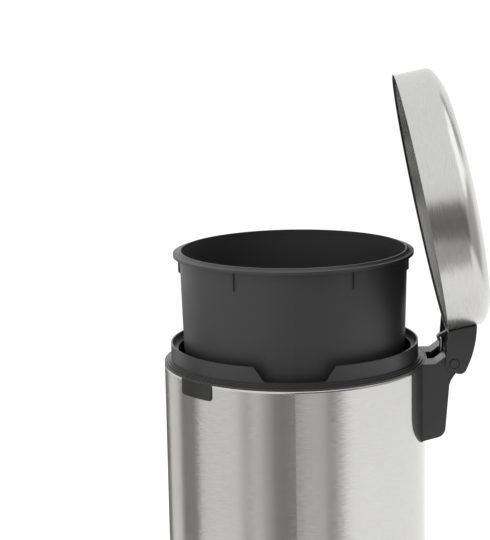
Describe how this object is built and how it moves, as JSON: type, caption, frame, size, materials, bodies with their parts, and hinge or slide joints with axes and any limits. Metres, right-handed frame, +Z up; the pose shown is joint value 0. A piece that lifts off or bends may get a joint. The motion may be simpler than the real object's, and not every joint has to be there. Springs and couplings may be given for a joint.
{
  "type": "pedal bin",
  "caption": "Round steel pedal bin with a domed lid on a rear hinge, a push rod, a foot pedal and a lift-out black inner bucket.",
  "frame": {"origin": "on the body's axis, at floor level", "axes": "+Z up, +Y to the rear where the lid's hinge is, the pedal on -Y, +X on the side the picture was taken from"},
  "size_m": [0.2526, 0.3442, 0.6226],
  "materials": {
    "brushed_steel_body": "brushed round the body",
    "brushed_steel_lid": "brushed",
    "black_plastic": "fine matt moulding",
    "hinge_plastic": "fine matt moulding",
    "bucket_plastic": "matt moulding",
    "black_rubber": "matt",
    "label_black": "satin",
    "polished_steel": "polished wire",
    "zinc_steel": "bright zinc",
    "lever_steel": "zinc-plated sheet",
    "white_nylon": "natural nylon"
  },
  "bodies": {
    "base": {"body_shell": "brushed_steel_body", "top_ring": "black_plastic", "label_tab": "label_black", "hinge_apron": "hinge_plastic", "hinge_housing": "hinge_plastic", "housing_screws": "zinc_steel", "hinge_pins": "hinge_plastic", "base_ring": "black_plastic", "base_pan": "black_plastic", "foot_ring": "black_rubber", "base_screws": "zinc_steel", "pedal_axle": "zinc_steel", "axle_clips": "zinc_steel"},
    "lid": {"lid_shell": "brushed_steel_lid", "lid_edge_trim": "black_rubber", "lid_liner": "black_plastic", "hinge_arm": "hinge_plastic", "lid_lever": "hinge_plastic", "arm_screws": "zinc_steel", "lid_bumpers": "black_rubber"},
    "rod": {"push_rod": "polished_steel", "rod_clip": "hinge_plastic", "rod_shoe": "black_plastic"},
    "pedal": {"pedal_lever": "lever_steel", "pedal_pad": "black_rubber", "pedal_rivets": "zinc_steel", "lever_bush": "white_nylon"},
    "bucket": {"bucket": "bucket_plastic"}
  },
  "joints": [
    {"name": "lid_hinge", "type": "hinge", "parent": "base", "child": "lid", "pos_m": [0, 0.1497, 0.3483], "axis": [-1, 0, 0], "range_deg": [-78.54, 0]},
    {"name": "pedal_hinge", "type": "hinge", "parent": "base", "child": "pedal", "pos_m": [0, -0.008, 0.0188], "axis": [1, 0, 0], "range_deg": [-10.36, 0]},
    {"name": "rod_hinge", "type": "hinge", "parent": "lid", "child": "rod", "pos_m": [0, 0.14019, 0.3646], "axis": [-1, 0, 0], "range_deg": [0, 78.54]},
    {"name": "bucket_lift", "type": "slide", "parent": "base", "child": "bucket", "axis": [0, 0, 1], "range_m": [-0.0895, 0]}
  ],
  "couplings": [
    {"joint": "pedal_hinge", "follows": "lid_hinge", "ratio": 0.13191},
    {"joint": "rod_hinge", "follows": "lid_hinge", "ratio": -1},
    {"joint": "bucket_lift", "follows": "lid_hinge", "m_per_rad": 0.065291}
  ]
}
